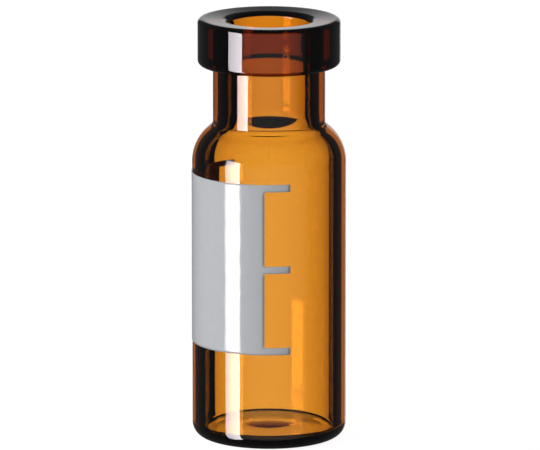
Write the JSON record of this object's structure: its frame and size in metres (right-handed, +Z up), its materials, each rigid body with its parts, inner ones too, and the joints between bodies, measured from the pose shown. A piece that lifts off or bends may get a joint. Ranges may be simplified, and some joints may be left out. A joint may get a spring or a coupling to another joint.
{
  "type": "amber glass crimp-neck sample vial",
  "caption": "Amber glass sample vial with a round crimp lip, a narrow neck, an open mouth and a grey enamel writing patch with plain filling marks.",
  "frame": {"origin": "centre of the plane the vial stands on", "axes": "+Z up out of the mouth along the vial's axis, the middle of the writing patch faces -Y"},
  "size_m": [0.0116, 0.0116, 0.032],
  "materials": {
    "amber_glass": "clear amber borosilicate tube glass, fire polished",
    "fired_enamel": "light grey ceramic ink with a low gloss, screen printed and fired on"
  },
  "bodies": {
    "root": {"glass_vial": "amber_glass", "writing_patch": "fired_enamel"}
  },
  "joints": []
}
